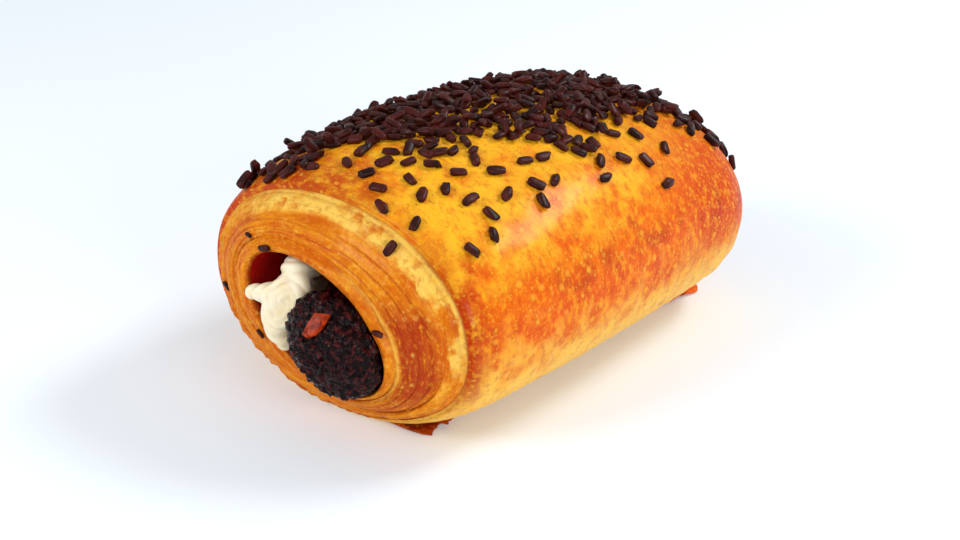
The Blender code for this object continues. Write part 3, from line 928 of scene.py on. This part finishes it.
def fold_cream(mesh):
    """Soft spiral folds, as piped cream keeps them, pressed into the merged swirl."""
    count = len(mesh.vertices)
    places = np.empty(count * 3)
    normals = np.empty(count * 3)
    mesh.vertices.foreach_get("co", places)
    mesh.vertices.foreach_get("normal", normals)
    places = places.reshape(-1, 3)
    normals = normals.reshape(-1, 3)
    local = places / MM - np.array([0, SHIFT_Y, 0])
    middle = tilted(local[:, 1], CREAM_CENTRE[0] + 2.5, CREAM_CENTRE[1] + 1.5)
    across = local[:, 0] - middle[:, 0]
    up = local[:, 2] - middle[:, 2]
    phase = 1.5 * np.hypot(across, up) + 1.0 * np.arctan2(up, across) + 0.35 * local[:, 1]
    phase = phase + 0.8 * fractal(local, 6.0, 2, 65)
    depth = 0.55 * np.abs(np.sin(phase)) ** 0.7 - 0.40
    shown = smooth(4, -1, local[:, 1])
    places += normals * (MM * depth * shown)[:, None]
    mesh.vertices.foreach_set("co", places.ravel())
    mesh.update()


def apply_modifiers(piece):
    depsgraph = bpy.context.evaluated_depsgraph_get()
    result = bpy.data.meshes.new_from_object(piece.evaluated_get(depsgraph))
    piece.modifiers.clear()
    old = piece.data
    piece.data = result
    bpy.data.meshes.remove(old)
    result.shade_smooth()


SHARD_OUTLINE = (
    (-1.1, -0.8), (-0.3, -0.9), (0.35, -0.5), (0.75, 0.1),
    (1.05, 1.1), (0.25, 1.0), (-0.65, 0.85), (-0.85, 0.1),
)
SHARD_HALF = (2.1, 2.9)
SHARD_LAYERS = ((-0.75, 0.80), (-0.55, 1.0), (0.15, 1.0), (0.45, 0.86))  # (depth, share of the outline)
SHARD_TIP = math.radians(38)
SHARD_NUDGE = (-0.3, 0, 0.6)  # from the middle of the CAD node, so that it lies higher on the dome


def make_shard(filling):
    """Thin broken shard that lies on the dome of the filling, where the CAD node is."""
    low, high = (np.array(corner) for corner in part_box("filling_fragment"))
    tree = BVHTree.FromObject(filling, bpy.context.evaluated_depsgraph_get())
    wanted = (low + high) / 2 + np.array(SHARD_NUDGE) * MM
    centre = np.array(tree.find_nearest(Vector(wanted))[0]) / MM - np.array([0, SHIFT_Y, 0])
    rings = []
    for depth, grow in SHARD_LAYERS:
        ring = []
        for x, z in SHARD_OUTLINE:
            inward = depth + 0.22 * math.sin(3 * x + 2 * z)
            along = z * SHARD_HALF[1] * grow
            y = inward * math.cos(SHARD_TIP) + along * math.sin(SHARD_TIP)
            rise = along * math.cos(SHARD_TIP) - inward * math.sin(SHARD_TIP)
            ring.append((x * SHARD_HALF[0] * grow, y, rise))
        rings.append(ring)
    points = np.asarray(rings) + centre
    return add_piece("filling_shard", points.reshape(-1, 3), tube_mesh(points), smooth_shading=False)


# ---- sprinkles

GRAIN_HALF = np.array([2.05, 1.20, 0.86])
GRAIN_KINDS = 9
GRAIN_SEAT = 0.62  # height of a loose grain's middle above the skin


def grain_shapes():
    """A few different chunky grains with blunt ends and flattened sides, lying along x."""
    shapes = []
    draw = np.random.default_rng(71)
    rows = 11
    columns = 14
    for _ in range(GRAIN_KINDS):
        latitude = np.linspace(-1.45, 1.45, rows)[:, None]
        longitude = turns(columns)
        reach = np.abs(np.cos(latitude)) ** (2 / draw.uniform(3.2, 4.6))
        x = signed_power(np.sin(latitude), draw.uniform(2.8, 3.8)) + 0 * longitude
        y = reach * np.cos(longitude)
        z = reach * np.sin(longitude)
        shape = np.stack([x, y, z], -1)
        for _ in range(5):
            side = draw.normal(size=3) * np.array([0.45, 1.0, 1.0])
            side /= np.linalg.norm(side)
            over = np.maximum(shape @ side - draw.uniform(0.66, 0.86), 0)
            shape = shape - 0.85 * over[..., None] * side
        taper = 1 + draw.uniform(-0.14, 0.14) * shape[..., 0]
        shape[..., 1] = shape[..., 1] * taper + draw.uniform(-0.10, 0.10) * shape[..., 0] ** 2
        shape += 0.10 * value_noise(shape * 1.9 + draw.uniform(0, 50), 5)[..., None] * shape
        shape /= np.abs(shape).max(axis=(0, 1))
        shapes.append(shape * GRAIN_HALF)
    return shapes


def grain_frame(normal, yaw, lean, roll):
    """Axes of a grain that lies on a surface, turned by yaw and leaning out of it."""
    normal = Vector(normal).normalized()
    helper = Vector((0, 1, 0)) if abs(normal.y) < 0.9 else Vector((1, 0, 0))
    first = helper.cross(normal).normalized()
    second = normal.cross(first)
    axes = Matrix((first, second, normal)).transposed()
    for angle, axis in ((yaw, "Z"), (lean, "Y"), (roll, "X")):
        axes = axes @ Matrix.Rotation(angle, 3, axis)
    return np.array(axes)


def join_grains(name, placements):
    """One mesh of many grains; a placement is (centre, axes, size, shape number)."""
    shapes = grain_shapes()
    grains = [(shapes[kind] * size) @ axes.T + centre for centre, axes, size, kind in placements]
    return add_piece(name, *join_tubes(grains))


def skin_place(tree, y, distance):
    """Point and normal on the baked skin, a distance round from the crest."""
    theta = math.pi / 2 - distance / MEAN_RADIUS
    for _ in range(4):
        theta += (arc_from_crest(theta, y) - distance) / MEAN_RADIUS
    target = ring_points(np.array(theta), np.array(float(y)), rounding(np.array(float(y))))
    out = target - np.array([0, y, AXIS_HEIGHT * 0.6])
    out /= np.linalg.norm(out)
    hit, normal, _, _ = tree.ray_cast(Vector(target + out * 6), Vector(-out))
    return np.array(hit), np.array(normal) * (1 if np.dot(normal, out) > 0 else -1)


def arc_from_crest(theta, y):
    """Distance round the section from the crest, positive towards +X."""
    steps = np.linspace(math.pi / 2, theta, 40)
    line = ring_points(steps, np.full(40, float(y)), rounding(np.full(40, float(y))))
    length = np.linalg.norm(np.diff(line, axis=0), axis=1).sum()
    return length if theta < math.pi / 2 else -length


# Edges of the carpet as (along the roll, round from the crest), and the stretch that it covers.
BED_POSITIVE_EDGE = ((3, -21), (6, -15), (18, -4), (30, 7), (43, 18), (72, 17), (88, 20), (98, 27))
BED_NEGATIVE_EDGE = ((3, -22), (8, -26), (20, -30), (84, -30), (98, -24))
BED_START = 8.0
BED_END = 99.0
# The carpet's two layers: places tried, spacing, height above the skin, share kept, spread of the lean.
CARPET_LAYERS = ((9000, 2.45, 0.65, 1.0, 0.16), (3500, 3.1, 1.85, 0.8, 0.42))
LOOSE_CLEARANCE = 2.1  # from the middle of any loose grain


def edge_at(edge, y):
    return np.interp(y, [p[0] for p in edge], [p[1] for p in edge])


def carpet_density(y, distance):
    """Share of the grains that are kept: all inside the carpet, clumps that thin out past its edge."""
    inside = min(edge_at(BED_POSITIVE_EDGE, y) - distance, distance - edge_at(BED_NEGATIVE_EDGE, y))
    inside = min(inside, y - BED_START, BED_END - y)
    place = np.array([[y, distance, 0.0]])
    patch = float(fractal(place, 8, 2, 81)[0])
    clump = 0.12 + 0.88 * float(smooth(0.00, 0.14, fractal(place, 5.0, 2, 87)[0]))
    hole = float(smooth(0.42, 0.58, fractal(place, 6.0, 2, 85)[0]))
    core = float(smooth(-1.5, 1.5, inside + 2.0 * patch)) * (1 - 0.85 * hole)
    width = 17.0 if 14 < y < 46 else 9.0  # of the fringe, widest where the edge runs down the shoulder
    fringe = float(smooth(-width, -0.15 * width, inside + 3.0 * patch)) * clump
    return max(core, 0.95 * fringe)


def scatter(draw, tries, spacing):
    """Evenly spread places over the top of the roll, as (along, round from the crest) pairs."""
    taken = np.empty((0, 2))
    for place in np.stack([draw.uniform(0.5, 100.5, tries), draw.uniform(-42, 40, tries)], -1):
        if len(taken) and np.min(((taken - place) ** 2).sum(-1)) < spacing**2:
            continue
        taken = np.vstack([taken, place])
    return taken


def make_carpet(tree, taken):
    """The carpet's grains in two layers, clear of the loose grains' places."""
    draw = np.random.default_rng(82)
    taken = np.asarray(taken)
    placements = []
    for tries, spacing, rise, share, tilt in CARPET_LAYERS:
        for y, distance in scatter(draw, tries, spacing):
            luck = draw.uniform()
            yaw = draw.uniform(0, math.pi)
            lean = draw.normal(0, tilt)
            roll = draw.normal(0, 0.25)
            size = draw.uniform(0.80, 1.04)
            lift = rise + draw.uniform(-0.1, 0.2)
            kind = int(draw.integers(GRAIN_KINDS))
            density = carpet_density(y, distance)
            if luck > (density if rise < 1 else share * max(0.0, 2 * density - 1)):
                continue
            point, normal = skin_place(tree, y, distance)
            centre = point + normal * lift
            if np.min(np.linalg.norm(taken - centre, axis=1)) < LOOSE_CLEARANCE:
                continue
            placements.append((centre, grain_frame(normal, yaw, lean, roll), size, kind))
    return join_grains("sprinkle_carpet", placements)


def make_loose_grains(tree):
    """Smooth grains where the CAD has its loose ones, set down on the baked surface."""
    placements = []
    names = [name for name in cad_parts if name.startswith("sprinkle_") and name[-2:].isdigit()]
    names.sort()
    for number, name in enumerate(names):
        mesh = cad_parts[name].data
        corners = np.array([v.co[:] for v in mesh.vertices]) / MM - np.array([0, SHIFT_Y, 0])
        centre = corners.mean(0)
        _, _, directions = np.linalg.svd(corners - centre)
        half_length = np.abs((corners - centre) @ directions[0]).max()
        hit, normal, _, _ = tree.find_nearest(Vector(centre))
        normal = np.array(normal)
        if np.dot(normal, centre - np.array(hit)) < 0:
            normal = -normal
        long_way = directions[0] - normal * np.dot(directions[0], normal)
        long_way /= np.linalg.norm(long_way)
        axes = np.stack([long_way, np.cross(normal, long_way), normal], -1)
        size = half_length / GRAIN_HALF[0]
        seat = np.array(hit) + normal * GRAIN_SEAT * size
        placements.append((seat, axes, size, number % GRAIN_KINDS))
    centres = [placement[0] for placement in placements]
    return join_grains("loose_sprinkles", placements), names, centres


# ---- stage

FLOOR_HALF = 2.5
FLOOR_DROP = 0.00005  # keeps the floor just clear of the flat underside
WORLD_STRENGTH = 0.45
LIGHT_AIM = (0, 0, 0.03)
# Area lights: name, place, width, height, power.
LIGHTS = (
    ("back_window", (0.26, 0.50, 0.56), 0.30, 0.16, 3.2),
    ("right_window", (0.72, -0.25, 0.26), 0.30, 0.30, 2.25),
    ("front_fill", (-0.28, -0.68, 0.50), 0.4, 0.3, 3.6),
)


def area_light(name, place, width, height, power):
    light = bpy.data.lights.new(name, "AREA")
    light.shape = "RECTANGLE"
    light.size = width
    light.size_y = height
    light.energy = power
    lamp = bpy.data.objects.new(name, light)
    lamp.location = place
    lamp.rotation_euler = (Vector(LIGHT_AIM) - Vector(place)).to_track_quat("-Z", "Y").to_euler()
    bpy.context.scene.collection.objects.link(lamp)


def make_floor():
    """Pale floor with a little glow of its own, so that the shadows on it stay light."""
    corners = [(FLOOR_HALF * x, FLOOR_HALF * y, 0) for x, y in ((-1, -1), (1, -1), (1, 1), (-1, 1))]
    mesh = bpy.data.meshes.new("floor")
    mesh.from_pydata(corners, [], [(0, 1, 2, 3)])
    floor = bpy.data.objects.new("floor", mesh)
    floor.location = (0, 0, -FLOOR_DROP)
    bpy.context.scene.collection.objects.link(floor)
    material, shader = new_material("white_floor")
    shader.inputs["Base Color"].default_value = (0.74, 0.81, 0.88, 1)
    shader.inputs["Emission Color"].default_value = (1, 1, 1, 1)
    shader.inputs["Emission Strength"].default_value = 0.17
    shader.inputs["Roughness"].default_value = 0.7
    shader.inputs["Specular IOR Level"].default_value = 0.2
    mesh.materials.append(material)


def make_stage():
    make_floor()
    world = bpy.data.worlds.new("studio")
    world.use_nodes = True
    world.node_tree.nodes["Background"].inputs[0].default_value = (1, 1, 1, 1)
    world.node_tree.nodes["Background"].inputs[1].default_value = WORLD_STRENGTH
    bpy.context.scene.world = world
    bpy.context.scene.view_settings.view_transform = "Standard"
    for light in LIGHTS:
        area_light(*light)


CAMERA_AZIMUTH = math.radians(40.44)
CAMERA_ELEVATION = math.radians(22.51)
CAMERA_DISTANCE = 0.400
CAMERA_LENS_MM = 67.5
CAMERA_TARGET = (0, 51.0, 27.2)  # millimetres, in the roll's frame
AIM_RIGHT = -0.003956  # from the target to the middle of the picture
AIM_UP = -0.011778


def make_camera():
    camera = bpy.data.cameras.new("camera")
    camera.sensor_width = 36.0
    camera.lens = CAMERA_LENS_MM
    camera.clip_start = 0.01
    back = Vector((
        math.sin(CAMERA_AZIMUTH) * math.cos(CAMERA_ELEVATION),
        -math.cos(CAMERA_AZIMUTH) * math.cos(CAMERA_ELEVATION),
        math.sin(CAMERA_ELEVATION),
    ))
    right = Vector((math.cos(CAMERA_AZIMUTH), math.sin(CAMERA_AZIMUTH), 0))
    up = back.cross(right)
    target = (Vector(CAMERA_TARGET) + Vector((0, SHIFT_Y, 0))) * MM
    place = target + back * CAMERA_DISTANCE
    aim = target + right * AIM_RIGHT + up * AIM_UP
    holder = bpy.data.objects.new("camera", camera)
    holder.location = place
    holder.rotation_euler = (aim - place).to_track_quat("-Z", "Y").to_euler()
    bpy.context.scene.collection.objects.link(holder)
    bpy.context.scene.camera = holder


def finish_piece(piece, material, slot, *nodes):
    piece.data.materials.clear()
    piece.data.materials.append(material)
    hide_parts(*nodes)
    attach(piece, "root")


make_camera()
make_stage()
roll, skin_tree = make_roll()
finish_piece(roll, crust_material(), "baked_dough", "pastry_roll")
filling = make_filling()
finish_piece(filling, filling_material(), "dark_filling", "chocolate_filling")
finish_piece(make_cream(), cream_material(), "cream", "cream_filling")
finish_piece(make_shard(filling), shard_material(), "brown_shard", "filling_fragment")
sprinkle_look = sprinkle_material()
loose, loose_names, loose_centres = make_loose_grains(skin_tree)
finish_piece(loose, sprinkle_look, "sprinkles", *loose_names)
finish_piece(make_carpet(skin_tree, loose_centres), sprinkle_look, "sprinkles", "sprinkle_bed")
